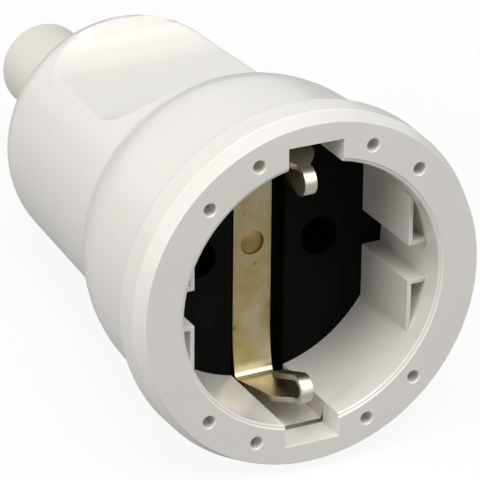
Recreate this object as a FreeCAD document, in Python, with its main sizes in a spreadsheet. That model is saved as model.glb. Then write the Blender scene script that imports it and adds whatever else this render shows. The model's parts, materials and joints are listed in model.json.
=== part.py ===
import FreeCAD, Part
import math
import os
import re

import Sketcher

# An earthed inline mains socket, drawn along its own axis and then laid on a table.
# While it is drawn, the face lies in the plane y = 0, the well opens towards -Y,
# depth runs along +Y, X is to the right and Z is up. Everything is in millimetres.

doc = FreeCAD.newDocument("InlineSocket")
sheet = doc.addObject("Spreadsheet::Sheet", "Sizes")

SIZES = {
    # front collar
    "well_radius": 19.5,
    "mouth_chamfer": 0.5,
    "lip_depth": 4.6,
    "face_width": 6.0,
    "face_inset": 0.8,
    "band_depth": 1.95,
    "band_draft": 0.1,
    "band_curve": 3.5,
    "flange_depth": 6.9,
    "flange_chamfer": 0.75,
    "flange_step": 1.8,
    "bell_taper": 0.45,
    "bell_length": 9.4,
    "bell_fall": 2.1,
    "bell_curve": 18.0,
    "rim_chamfer": 0.7,
    "spigot_length": 6.9,
    "slip": 0.1,
    "slot_width": 8.22,
    "slot_cut": 2.9,
    "dimple_inset": 3.1,
    "dimple_radius": 0.9,
    "dimple_depth": 1.6,
    "dimple_step": 22.5,
    # well liner
    "liner_wall": 0.8,
    "seam_gap": 0.15,
    "floor_depth": 17.0,
    "ear_height": 2.4,
    "ear_wall": 0.74,
    "ear_floor_wall": 0.9,
    "rib_height": 3.1,
    "rib_front": 3.5,
    "rib_channel": 5.3,
    "rib_wall": 0.65,
    "rib_core_depth": 8.0,
    # contact carrier
    "carrier_flange": 5.0,
    "strap_channel": 2.7,
    "pin_pitch": 19.0,
    "pin_hole_radius": 2.85,
    "carrier_web": 3.6,
    "tower_wall": 1.2,
    "tower_length": 6.0,
    "chamber_radius": 4.4,
    "boss_offset": 11.8,
    "boss_radius": 2.5,
    "post_radius": 1.75,
    "post_clearance": 0.05,
    # earth strap and its clips
    "strap_width": 5.9,
    "strap_thickness": 0.8,
    "strap_bend": 1.3,
    "leg_clearance": 0.95,
    "clip_height": 2.05,
    "nose_depth": 3.2,
    "nose_bend": 1.7,
    "tail_rise": 2.5,
    "tail_run": 6.4,
    "tongue_width": 1.8,
    "tongue_taper": 3.2,
    "post_recess": 0.15,
    # contacts, terminals and their fixings
    "sleeve_radius": 3.3,
    "sleeve_bore": 2.42,
    "sleeve_bore_depth": 16.0,
    "sleeve_length": 27.0,
    "sleeve_slit": 0.7,
    "shoulder_length": 2.0,
    "ring_wall": 0.55,
    "ring_length": 2.4,
    "ring_setback": 1.6,
    "ring_gap": 1.0,
    "wire_hole_radius": 1.3,
    "wire_hole_depth": 7.5,
    "terminal_screw_radius": 1.45,
    "terminal_screw_setback": 5.0,
    "terminal_screw_head": 2.3,
    "terminal_screw_head_height": 1.6,
    "terminal_screw_reach": 1.2,
    "terminal_screw_tip": 0.6,
    "block_width": 6.4,
    "block_height": 10.0,
    "block_depth": 8.0,
    "block_top": 3.0,
    "block_gap": 0.3,
    "block_screw_drop": 4.2,
    "block_screw_setback": 3.2,
    "retainer_clearance": 0.6,
    "retainer_thickness": 2.5,
    "retainer_screw_radius": 1.1,
    "retainer_screw_length": 8.0,
    "retainer_screw_head": 2.1,
    "retainer_screw_head_height": 1.5,
    # grip shell
    "grip_inset": 0.5,
    "grip_step": 0.5,
    "grip_taper": 1.18,
    "grip_wall": 2.2,
    "heel_margin": 0.5,
    "heel_round": 7.0,
    "heel_length": 5.2,
    "heel_fall": 2.82,
    "dome_curve": 15.0,
    "dome_length": 4.4,
    "end_wall": 5.0,
    "throat_ledge": 0.5,
    "throat_clearance": 1.0,
    "scoop_floor": 13.5,
    "scoop_setback": 2.5,
    "scoop_overrun": 1.2,
    "scoop_front_curve": 9.3,
    "scoop_rear_curve": 7.0,
    # cord grommet and cord clamp
    "nose_radius": 6.8,
    "nose_length": 22.2,
    "nose_chamfer": 1.0,
    "cord_radius": 4.1,
    "cord_chamfer": 0.5,
    "grommet_flange": 10.2,
    "grommet_flange_length": 2.4,
    "clamp_clearance": 1.9,
    "clamp_margin": 4.0,
    "clamp_spacing": 18.0,
    "clamp_boss_radius": 3.1,
    "clamp_height": 3.8,
    "clamp_length": 25.0,
    "clamp_width": 7.0,
    "clamp_thickness": 2.8,
    "clamp_screw_radius": 1.4,
    "clamp_screw_length": 10.0,
    "clamp_screw_head": 2.7,
    "clamp_screw_head_height": 1.9,
}

for row, (alias, size) in enumerate(SIZES.items(), start=1):
    sheet.set("A%d" % row, alias)
    sheet.set("B%d" % row, str(size))
    sheet.setAlias("B%d" % row, alias)
doc.recompute()


def bound(expression):
    """The expression with each size named as a cell of the sheet."""
    return re.sub(r"[a-z]\w*", lambda word: "Sizes." + word[0] if word[0] in SIZES else word[0], expression)


def value(expression):
    """The number that an expression of the sizes gives."""
    return float(sheet.evalExpression(expression))


def new_body(label):
    body = doc.addObject("PartDesign::Body", label)
    body.Label = label
    return body


def origin_plane(body, role):
    return next(plane for plane in body.Origin.OriginFeatures if plane.Role == role)


def new_sketch(body, name, role, offset="0"):
    """A sketch on one of the body's own planes, moved along that plane's normal."""
    sketch = body.newObject("Sketcher::SketchObject", name)
    sketch.AttachmentSupport = [(origin_plane(body, role), "")]
    sketch.MapMode = "FlatFace"
    sketch.setExpression("AttachmentOffset.Base.z", bound(offset))
    return sketch


def pin_point(sketch, geometry, end, across, up):
    """Hold one end of a sketch line at two expressions of the sheet."""
    for kind, axis, expression in (("DistanceX", -2, across), ("DistanceY", -1, up)):
        if expression == "0":
            sketch.addConstraint(Sketcher.Constraint("PointOnObject", geometry, end, axis))
            continue
        number = sketch.addConstraint(Sketcher.Constraint(kind, -1, 1, geometry, end, value(expression)))
        sketch.setExpression("Constraints[%d]" % number, bound(expression))


def arc_between(start, finish, radius, side):
    """The short arc from start to finish; side +1 bulges to the left of the way, -1 to the right."""
    chord = finish - start
    middle = (start + finish) * 0.5
    left = FreeCAD.Vector(-chord.y, chord.x, 0).normalize()
    centre = middle - left * side * math.sqrt(radius ** 2 - (chord.Length / 2) ** 2)
    first, last = (finish, start) if side > 0 else (start, finish)
    angles = [math.atan2(point.y - centre.y, point.x - centre.x) for point in (first, last)]
    circle = Part.Circle(centre, FreeCAD.Vector(0, 0, 1), radius)
    return Part.ArcOfCircle(circle, angles[0], angles[1])


def outline(sketch, corners, closed=True):
    """Lines and arcs through corners (across, up) or (across, up, arc radius, side) of expressions."""
    points = [FreeCAD.Vector(value(corner[0]), value(corner[1]), 0) for corner in corners]
    count = len(corners) if closed else len(corners) - 1
    ends = []
    for index in range(count):
        corner = corners[index]
        start, finish = points[index], points[(index + 1) % len(points)]
        if len(corner) == 2:
            geometry = sketch.addGeometry(Part.LineSegment(start, finish), False)
            ends.append((geometry, 1, 2))
            continue
        arc = arc_between(start, finish, value(corner[2]), corner[3])
        geometry = sketch.addGeometry(arc, False)
        ends.append((geometry, 2, 1) if corner[3] > 0 else (geometry, 1, 2))
        number = sketch.addConstraint(Sketcher.Constraint("Radius", geometry, value(corner[2])))
        sketch.setExpression("Constraints[%d]" % number, bound(corner[2]))
    for index, (geometry, first, last) in enumerate(ends):
        if closed or index + 1 < count:
            following = ends[(index + 1) % count]
            sketch.addConstraint(Sketcher.Constraint("Coincident", geometry, last, following[0], following[1]))
        pin_point(sketch, geometry, first, corners[index][0], corners[index][1])
    if not closed:
        pin_point(sketch, ends[-1][0], ends[-1][2], corners[-1][0], corners[-1][1])
    return sketch


def circles(sketch, places):
    """Circles at (across, up, radius) expressions."""
    for across, up, radius in places:
        centre = FreeCAD.Vector(value(across), value(up), 0)
        circle = Part.Circle(centre, FreeCAD.Vector(0, 0, 1), value(radius))
        geometry = sketch.addGeometry(circle, False)
        number = sketch.addConstraint(Sketcher.Constraint("Radius", geometry, value(radius)))
        sketch.setExpression("Constraints[%d]" % number, bound(radius))
        pin_point(sketch, geometry, 3, across, up)
    return sketch


def revolve(body, name, corners, cut=False):
    """Turn a profile of (radius, depth) corners about the socket's axis."""
    sketch = outline(new_sketch(body, name + "_profile", "XY_Plane"), corners)
    turned = body.newObject("PartDesign::Groove" if cut else "PartDesign::Revolution", name)
    turned.Profile = sketch
    turned.ReferenceAxis = (sketch, ["V_Axis"])
    turned.Angle = 360
    doc.recompute()
    return turned


def pad(body, name, sketch, length, symmetric=False, reverse=False):
    padded = body.newObject("PartDesign::Pad", name)
    padded.Profile = sketch
    padded.setExpression("Length", bound(length))
    if symmetric:
        padded.SideType = "Symmetric"
    padded.Reversed = reverse
    doc.recompute()
    return padded


def pocket(body, name, sketch, length, symmetric=False, reverse=False):
    """Cut a sketch into the body, and stop if the cut takes nothing away."""
    before = body.Shape.Volume
    cut = body.newObject("PartDesign::Pocket", name)
    cut.Profile = sketch
    cut.setExpression("Length", bound(length))
    if symmetric:
        cut.SideType = "Symmetric"
    cut.Reversed = reverse
    doc.recompute()
    if body.Shape.Volume > before - 1e-6:
        raise ValueError("%s cuts nothing" % name)
    return cut


def mirror(body, name, features, role):
    """Repeat features on the other side of one of the body's own planes."""
    mirrored = body.newObject("PartDesign::Mirrored", name)
    mirrored.Originals = features
    mirrored.MirrorPlane = (origin_plane(body, role), [""])
    body.Tip = mirrored
    doc.recompute()
    return mirrored


def facing_front(body, name, depth):
    """A sketch across the axis at a depth, with X across and Z up; its normal points out of the well."""
    return new_sketch(body, name, "XZ_Plane", "-(%s)" % depth)


def rounded_tab(half_width, foot, radius):
    """A tab with straight sides whose outer end is an arc about the axis."""
    shoulder = "sqrt((%s)^2 - (%s)^2)" % (radius, half_width)
    return [
        ("-(%s)" % half_width, foot),
        (half_width, foot),
        (half_width, shoulder, radius, -1),
        ("-(%s)" % half_width, shoulder),
    ]


# Sizes that follow from others: radii from the well outwards, then depths from the face to the cord's end.
FACE_RADIUS = "(well_radius + face_width)"
FLANGE_RADIUS = "(well_radius + face_width + face_inset)"
BELL_RADIUS = "(%s - flange_step)" % FLANGE_RADIUS
WAIST_RADIUS = "(%s - bell_taper)" % BELL_RADIUS
RIM_RADIUS = "(%s - bell_fall)" % WAIST_RADIUS
LINER_RADIUS = "(well_radius + liner_wall)"
BORE_RADIUS = "(well_radius + liner_wall + slip)"
EAR_RADIUS = "(%s + ear_height)" % LINER_RADIUS
EAR_FLOOR = "(%s - ear_floor_wall)" % EAR_RADIUS
EAR_HALF = "(slot_width / 2 + ear_wall)"
SLOT_REACH = "(well_radius + slot_cut)"
RIB_CHORD = "(well_radius - rib_height)"
LEG_REACH = "(%s - leg_clearance)" % EAR_FLOOR
NOSE_HEIGHT = "(well_radius - clip_height)"
SHOULDER_RADIUS = "(chamber_radius - slip)"
RING_RADIUS = "(sleeve_radius + ring_wall)"
GRIP_RADIUS = "(%s - grip_inset)" % BORE_RADIUS
HEEL_RADIUS = "(%s - grip_taper)" % GRIP_RADIUS
DOME_RADIUS = "(%s - heel_fall)" % HEEL_RADIUS
CAVITY_RADIUS = "(%s - grip_wall)" % HEEL_RADIUS
CAVITY_HALF = "(scoop_floor - grip_wall)"
THROAT_RADIUS = "(%s - throat_ledge)" % CAVITY_RADIUS
LINER_FRONT = "(lip_depth + seam_gap)"
STRAP_SEAT = "(floor_depth + strap_channel)"
SLEEVE_FRONT = "(floor_depth + carrier_web)"
CARRIER_BACK = "(floor_depth + carrier_flange)"
TOWER_BACK = "(%s + tower_length)" % CARRIER_BACK
COLLAR_BACK = "(%s + spigot_length)" % CARRIER_BACK
BLOCK_FRONT = "(%s + retainer_thickness + block_gap)" % TOWER_BACK
THROAT_BACK = "(%s + retainer_thickness + retainer_screw_head_height + throat_clearance)" % TOWER_BACK
SLEEVE_BACK = "(%s + sleeve_length)" % SLEEVE_FRONT
CLAMP_DEPTH = "(%s + clamp_clearance + clamp_width / 2)" % SLEEVE_BACK
CAVITY_BACK = "(%s + clamp_width / 2 + clamp_margin)" % CLAMP_DEPTH
HEEL_DEPTH = "(%s + heel_margin)" % CAVITY_BACK
DOME_DEPTH = "(%s + heel_length)" % HEEL_DEPTH
GRIP_BACK = "(%s + dome_length)" % DOME_DEPTH
NOSE_BACK = "(%s + nose_length)" % GRIP_BACK


def make_front_collar():
    """Moulded collar: face ring, flange and bell in one piece, open at both ends."""
    body = new_body("front_collar")
    revolve(body, "collar_wall", [
        ("well_radius + mouth_chamfer", "0"),
        (FACE_RADIUS, "0", "band_curve", -1),
        (FLANGE_RADIUS + " - band_draft", "band_depth"),
        (FLANGE_RADIUS, "flange_depth - flange_chamfer"),
        (FLANGE_RADIUS + " - flange_chamfer", "flange_depth"),
        (BELL_RADIUS, "flange_depth"),
        (WAIST_RADIUS, COLLAR_BACK + " - bell_length", "bell_curve", -1),
        (RIM_RADIUS, COLLAR_BACK + " - rim_chamfer"),
        (RIM_RADIUS + " - rim_chamfer", COLLAR_BACK),
        (BORE_RADIUS, COLLAR_BACK),
        (BORE_RADIUS, "lip_depth"),
        ("well_radius", "lip_depth"),
        ("well_radius", "mouth_chamfer"),
    ])
    slot = outline(facing_front(body, "earth_slot_sketch", "0"), [
        ("-slot_width / 2", "0"),
        ("slot_width / 2", "0"),
        ("slot_width / 2", SLOT_REACH),
        ("-slot_width / 2", SLOT_REACH),
    ])
    slot_cut = pocket(body, "earth_slot", slot, "lip_depth")
    keyway = outline(facing_front(body, "ear_keyway_sketch", "lip_depth"),
                     rounded_tab(EAR_HALF + " + slip", "well_radius", EAR_RADIUS + " + slip"))
    keyway_cut = pocket(body, "ear_keyway", keyway, CARRIER_BACK + " + slip - lip_depth")
    mirror(body, "lower_slot_and_keyway", [slot_cut, keyway_cut], "XY_Plane")
    circle = "(%s - dimple_inset)" % FACE_RADIUS
    places = []
    for quarter in (0, 180):
        for side in (-1, 1):
            for step in (1, 2):
                angle = "(%d + %d * dimple_step)" % (quarter, side * step)
                places.append((circle + " * sin" + angle, circle + " * cos" + angle, "dimple_radius"))
    pocket(body, "face_dimples", circles(facing_front(body, "dimple_sketch", "0"), places), "dimple_depth")
    return body


def make_well_liner():
    """Moulded liner: a short tube with a keyed ear round each earth slot and two guide ribs on each side."""
    body = new_body("well_liner")
    revolve(body, "liner_wall", [
        ("well_radius", LINER_FRONT),
        (LINER_RADIUS, LINER_FRONT),
        (LINER_RADIUS, "floor_depth"),
        ("well_radius", "floor_depth"),
    ])
    wall_middle = "(well_radius + liner_wall / 2)"
    length = "floor_depth - " + LINER_FRONT
    ear = outline(facing_front(body, "ear_sketch", LINER_FRONT), rounded_tab(EAR_HALF, "well_radius - 1", EAR_RADIUS))
    ear_pad = pad(body, "upper_ear", ear, length, reverse=True)
    mirror(body, "lower_ear", [ear_pad], "XY_Plane")
    slot = outline(facing_front(body, "slot_sketch", LINER_FRONT), [
        ("-slot_width / 2", "-" + EAR_FLOOR),
        ("slot_width / 2", "-" + EAR_FLOOR),
        ("slot_width / 2", EAR_FLOOR),
        ("-slot_width / 2", EAR_FLOOR),
    ])
    pocket(body, "earth_slots", slot, length)
    bore = circles(facing_front(body, "bore_sketch", LINER_FRONT), [("0", "0", "well_radius")])
    pocket(body, "well_bore", bore, length)

    def segment(radius):
        """The piece of a disc beyond the ribs' chord."""
        top = "sqrt(%s^2 - %s^2)" % (radius, RIB_CHORD)
        return [(RIB_CHORD, "-" + top, radius, -1), (RIB_CHORD, top)]

    root = outline(facing_front(body, "rib_root_sketch", LINER_FRONT), segment(wall_middle))
    root_pad = pad(body, "rib_root", root, length, reverse=True)
    rib = outline(facing_front(body, "rib_sketch", "rib_front"), segment("(well_radius - slip)"))
    rib_pad = pad(body, "rib", rib, "floor_depth - rib_front", reverse=True)
    half_channel = "rib_channel / 2"
    channel = outline(facing_front(body, "channel_sketch", "rib_front"), [
        (RIB_CHORD + " - 1", "-" + half_channel),
        ("sqrt(well_radius^2 - (rib_channel / 2)^2)", "-" + half_channel, "well_radius", -1),
        ("sqrt(well_radius^2 - (rib_channel / 2)^2)", half_channel),
        (RIB_CHORD + " - 1", half_channel),
    ])
    channel_cut = pocket(body, "guide_channel", channel, "floor_depth - rib_front")
    inner = "(%s + rib_wall)" % RIB_CHORD
    foot = "(rib_channel / 2 + rib_wall)"
    cores = []
    for name, sign in (("upper_rib_core", ""), ("lower_rib_core", "-")):
        core = outline(facing_front(body, name + "_sketch", "rib_front"), [
            (inner, sign + foot),
            ("sqrt(well_radius^2 - %s^2)" % foot, sign + foot, "well_radius", 1 if sign else -1),
            (inner, "%ssqrt(well_radius^2 - %s^2)" % (sign, inner)),
        ])
        cores.append(pocket(body, name, core, "rib_core_depth"))
    mirror(body, "left_ribs", [root_pad, rib_pad, channel_cut] + cores, "YZ_Plane")
    return body


def make_contact_carrier():
    """Black moulded insert: floor of the well in front, contact towers and screw bosses behind."""
    body = new_body("contact_carrier")
    revolve(body, "carrier_disc", [
        ("0", "floor_depth"),
        (LINER_RADIUS, "floor_depth"),
        (LINER_RADIUS, CARRIER_BACK),
        ("0", CARRIER_BACK),
    ])
    ear = outline(facing_front(body, "ear_sketch", "floor_depth"), rounded_tab(EAR_HALF, "well_radius", EAR_RADIUS))
    ear_pad = pad(body, "upper_ear", ear, "carrier_flange", reverse=True)
    mirror(body, "lower_ear", [ear_pad], "XY_Plane")
    towers = circles(facing_front(body, "tower_sketch", CARRIER_BACK), [
        ("-pin_pitch / 2", "0", "chamber_radius + tower_wall"),
        ("pin_pitch / 2", "0", "chamber_radius + tower_wall"),
        ("0", "boss_offset", "boss_radius"),
        ("0", "-boss_offset", "boss_radius"),
    ])
    pad(body, "towers_and_bosses", towers, "tower_length", reverse=True)
    channel = outline(facing_front(body, "strap_channel_sketch", "floor_depth"), [
        ("-slot_width / 2", "-" + EAR_RADIUS),
        ("slot_width / 2", "-" + EAR_RADIUS),
        ("slot_width / 2", EAR_RADIUS),
        ("-slot_width / 2", EAR_RADIUS),
    ])
    pocket(body, "strap_channel", channel, "strap_channel")
    both = (("-pin_pitch / 2", "0"), ("pin_pitch / 2", "0"))
    pins = circles(facing_front(body, "pin_hole_sketch", "floor_depth"),
                   [(across, up, "pin_hole_radius") for across, up in both])
    pocket(body, "pin_holes", pins, "carrier_web")
    chambers = circles(facing_front(body, "chamber_sketch", SLEEVE_FRONT),
                       [(across, up, "chamber_radius") for across, up in both])
    pocket(body, "sleeve_chambers", chambers, "%s - %s" % (TOWER_BACK, SLEEVE_FRONT))
    post = circles(facing_front(body, "post_hole_sketch", STRAP_SEAT), [("0", "0", "post_radius")])
    pocket(body, "post_hole", post, "carrier_flange - strap_channel")
    screws = circles(facing_front(body, "screw_hole_sketch", TOWER_BACK), [
        ("0", "boss_offset", "retainer_screw_radius"),
        ("0", "-boss_offset", "retainer_screw_radius"),
    ])
    pocket(body, "screw_holes", screws, "retainer_screw_length - retainer_thickness + slip", reverse=True)
    return body


def bent_strip(body, name, path, width):
    """A strip of the strap's thickness folded along a path of (depth, height) corners, drawn in the plane x = 0."""
    spine = outline(new_sketch(body, name + "_path", "YZ_Plane"), path, closed=False)
    doc.recompute()
    section = body.newObject("Sketcher::SketchObject", name + "_section")
    section.AttachmentSupport = [(spine, "Edge1")]
    section.MapMode = "NormalToEdge"
    section.MapPathParameter = 0
    doc.recompute()
    across_is_x = abs(section.Placement.Rotation.multVec(FreeCAD.Vector(1, 0, 0)).x) > 0.5
    half_width, half_thickness = "(%s) / 2" % width, "strap_thickness / 2"
    half_across, half_up = (half_width, half_thickness) if across_is_x else (half_thickness, half_width)
    outline(section, [
        ("-(%s)" % half_across, "-(%s)" % half_up),
        (half_across, "-(%s)" % half_up),
        (half_across, half_up),
        ("-(%s)" % half_across, half_up),
    ])
    pipe = body.newObject("PartDesign::AdditivePipe", name)
    pipe.Profile = section
    pipe.Spine = spine
    doc.recompute()
    return pipe


def make_earth_strap():
    """One strip of nickelled brass: flat along the floor, a leg forward in each slot, and a hairpin clip at its end."""
    body = new_body("earth_strap")
    middle = "floor_depth + strap_channel - strap_thickness / 2"
    slope = "atan((%s - %s) / (%s - nose_depth))" % (LEG_REACH, NOSE_HEIGHT, middle)
    tail_slope = "atan(tail_rise / tail_run)"
    # The leg leaves the strap on an arc that touches both, a little more than a quarter turn.
    bend_run = "strap_bend * tan(45 deg + %s / 2)" % slope
    leg = bent_strip(body, "upper_leg", [
        (middle, "0"),
        (middle, "%s - %s" % (LEG_REACH, bend_run), "strap_bend", -1),
        ("%s - %s * cos(%s)" % (middle, bend_run, slope), "%s - %s * sin(%s)" % (LEG_REACH, bend_run, slope)),
        ("nose_depth", NOSE_HEIGHT),
    ], "strap_width")
    half_strap, half_tongue = "strap_width / 2", "tongue_width / 2"
    tapers = []
    for name, sign in (("right_taper", ""), ("left_taper", "-")):
        sketch = outline(new_sketch(body, name + "_sketch", "XY_Plane"), [
            ("%s%s" % (sign, half_tongue), "nose_depth - 2"),
            ("%s%s" % (sign, half_tongue), "nose_depth + tongue_taper / 4"),
            ("%s%s" % (sign, half_strap), "nose_depth + tongue_taper"),
            ("%s(%s + 1)" % (sign, half_strap), "nose_depth + tongue_taper"),
            ("%s(%s + 1)" % (sign, half_strap), "nose_depth - 2"),
        ])
        tapers.append(pocket(body, name, sketch, "3 * " + LEG_REACH, symmetric=True))
    centre_depth = "(nose_depth + nose_bend * sin(%s))" % slope
    centre_height = "(%s - nose_bend * cos(%s))" % (NOSE_HEIGHT, slope)
    tail_depth = "%s + nose_bend * sin(%s)" % (centre_depth, tail_slope)
    tail_height = "%s - nose_bend * cos(%s)" % (centre_height, tail_slope)
    clip = bent_strip(body, "upper_clip", [
        ("nose_depth + tongue_taper / 4", "%s + tongue_taper / 4 * tan(%s)" % (NOSE_HEIGHT, slope)),
        ("nose_depth", NOSE_HEIGHT, "nose_bend", -1),
        ("%s - nose_bend" % centre_depth, centre_height, "nose_bend", -1),
        (tail_depth, tail_height),
        ("%s + tail_run" % tail_depth, "%s + tail_rise" % tail_height),
    ], "tongue_width")
    mirror(body, "lower_clip", [leg] + tapers + [clip], "XY_Plane")
    hole = circles(facing_front(body, "post_hole_sketch", STRAP_SEAT), [("0", "0", "post_radius + post_clearance")])
    pocket(body, "post_hole", hole, "strap_thickness", reverse=True)
    return body


def make_earth_post():
    """Turned brass post: its front end is staked in the strap's hole, its rear end holds the earth terminal."""
    body = new_body("earth_post")
    front = "floor_depth + strap_channel - strap_thickness + post_recess"
    revolve(body, "post", [
        ("0", front),
        ("post_radius", front),
        ("post_radius", BLOCK_FRONT + " + block_depth"),
        ("0", BLOCK_FRONT + " + block_depth"),
    ])
    return body


def make_earth_terminal():
    """Brass block on the post, with a wire hole from behind and a screw from below."""
    body = new_body("earth_terminal")
    block = outline(facing_front(body, "block_sketch", BLOCK_FRONT), [
        ("-block_width / 2", "block_top - block_height"),
        ("block_width / 2", "block_top - block_height"),
        ("block_width / 2", "block_top"),
        ("-block_width / 2", "block_top"),
    ])
    pad(body, "block", block, "block_depth", reverse=True)
    holes = circles(facing_front(body, "hole_sketch", BLOCK_FRONT), [
        ("0", "0", "post_radius"),
        ("0", "-block_screw_drop", "wire_hole_radius"),
    ])
    pocket(body, "post_and_wire_holes", holes, "block_depth")
    screw = circles(new_sketch(body, "screw_hole_sketch", "XY_Plane", "-block_screw_drop"),
                    [("0", BLOCK_FRONT + " + block_depth - block_screw_setback", "terminal_screw_radius")])
    pocket(body, "screw_hole", screw, "block_height")
    return body


def make_contact(label, across):
    """Turned brass sleeve: split in front to take a pin, with a shoulder and a pillar terminal behind."""
    body = new_body(label)
    shoulder = TOWER_BACK + " - shoulder_length"
    sleeve = circles(facing_front(body, "sleeve_sketch", SLEEVE_FRONT), [(across, "0", "sleeve_radius")])
    pad(body, "sleeve", sleeve, "sleeve_length", reverse=True)
    ring = circles(facing_front(body, "shoulder_sketch", shoulder), [(across, "0", SHOULDER_RADIUS)])
    pad(body, "shoulder", ring, "shoulder_length", reverse=True)
    bore = circles(facing_front(body, "bore_sketch", SLEEVE_FRONT), [(across, "0", "sleeve_bore")])
    pocket(body, "pin_bore", bore, "sleeve_bore_depth")
    slit = outline(facing_front(body, "slit_sketch", SLEEVE_FRONT), [
        (across + " - sleeve_radius", "-sleeve_slit / 2"),
        (across + " + sleeve_radius", "-sleeve_slit / 2"),
        (across + " + sleeve_radius", "sleeve_slit / 2"),
        (across + " - sleeve_radius", "sleeve_slit / 2"),
    ])
    pocket(body, "slit", slit, "%s - %s" % (shoulder, SLEEVE_FRONT))
    wire = circles(facing_front(body, "wire_hole_sketch", SLEEVE_BACK), [(across, "0", "wire_hole_radius")])
    pocket(body, "wire_hole", wire, "wire_hole_depth", reverse=True)
    screw = circles(new_sketch(body, "screw_hole_sketch", "XY_Plane"),
                    [(across, SLEEVE_BACK + " - terminal_screw_setback", "terminal_screw_radius")])
    pocket(body, "screw_hole", screw, "sleeve_radius")
    return body


def make_spring_ring(label, across):
    """Sprung steel ring, open on one side, that squeezes the split sleeve."""
    body = new_body(label)
    front = "%s + ring_setback" % SLEEVE_FRONT
    ring = circles(facing_front(body, "ring_sketch", front), [
        (across, "0", RING_RADIUS),
        (across, "0", "sleeve_radius"),
    ])
    pad(body, "ring", ring, "ring_length", reverse=True)
    gap = outline(facing_front(body, "gap_sketch", front), [
        (across + " - ring_gap / 2", "0"),
        (across + " + ring_gap / 2", "0"),
        (across + " + ring_gap / 2", RING_RADIUS + " + 1"),
        (across + " - ring_gap / 2", RING_RADIUS + " + 1"),
    ])
    pocket(body, "gap", gap, "ring_length")
    return body


def make_screw(label, place, direction, radius, length, head_radius, head_height):
    """Cheese-head screw with a slot; place is where the head seats, direction is the way the shank goes."""
    shank = doc.addObject("Part::Cylinder", label + "_shank")
    head = doc.addObject("Part::Cylinder", label + "_head")
    slot = doc.addObject("Part::Box", label + "_slot")
    shank.setExpression("Radius", bound(radius))
    shank.setExpression("Height", bound(length))
    head.setExpression("Radius", bound(head_radius))
    head.setExpression("Height", bound(head_height))
    head.setExpression("Placement.Base.z", bound("-(%s)" % head_height))
    slot.setExpression("Length", bound("3 * (%s)" % head_radius))
    slot.setExpression("Width", bound("(%s) / 4" % head_radius))
    slot.setExpression("Height", bound("(%s) / 2" % head_height))
    slot.setExpression("Placement.Base.x", bound("-1.5 * (%s)" % head_radius))
    slot.setExpression("Placement.Base.y", bound("-(%s) / 8" % head_radius))
    slot.setExpression("Placement.Base.z", bound("-(%s)" % head_height))
    blank = doc.addObject("Part::Fuse", label + "_blank")
    blank.Base = shank
    blank.Tool = head
    screw = doc.addObject("Part::Cut", label)
    screw.Base = blank
    screw.Tool = slot
    screw.Label = label
    turn = FreeCAD.Rotation(FreeCAD.Vector(0, 0, 1), FreeCAD.Vector(*direction))
    screw.Placement = FreeCAD.Placement(FreeCAD.Vector(*[value(along) for along in place]), turn)
    doc.recompute()
    return screw


def make_terminal_screw(label, across, depth, seat, wire):
    """Terminal screw from below: seat is the drop to the terminal's underside, wire the drop to its wire hole."""
    return make_screw(label, (across, depth, "-(%s) - terminal_screw_reach" % seat), (0, 0, 1),
                      "terminal_screw_radius",
                      "terminal_screw_reach + %s - (%s) - terminal_screw_tip" % (seat, wire),
                      "terminal_screw_head", "terminal_screw_head_height")


def make_contact_retainer():
    """Black plate behind the towers that keeps the sleeves in their chambers."""
    body = new_body("contact_retainer")
    plate = circles(facing_front(body, "plate_sketch", TOWER_BACK), [("0", "0", THROAT_RADIUS + " - retainer_clearance")])
    pad(body, "plate", plate, "retainer_thickness", reverse=True)
    holes = circles(facing_front(body, "hole_sketch", TOWER_BACK), [
        ("-pin_pitch / 2", "0", "sleeve_radius + slip"),
        ("pin_pitch / 2", "0", "sleeve_radius + slip"),
        ("0", "boss_offset", "retainer_screw_radius + slip"),
        ("0", "-boss_offset", "retainer_screw_radius + slip"),
        ("0", "0", "post_radius + slip"),
    ])
    pocket(body, "holes", holes, "retainer_thickness")
    return body


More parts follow.
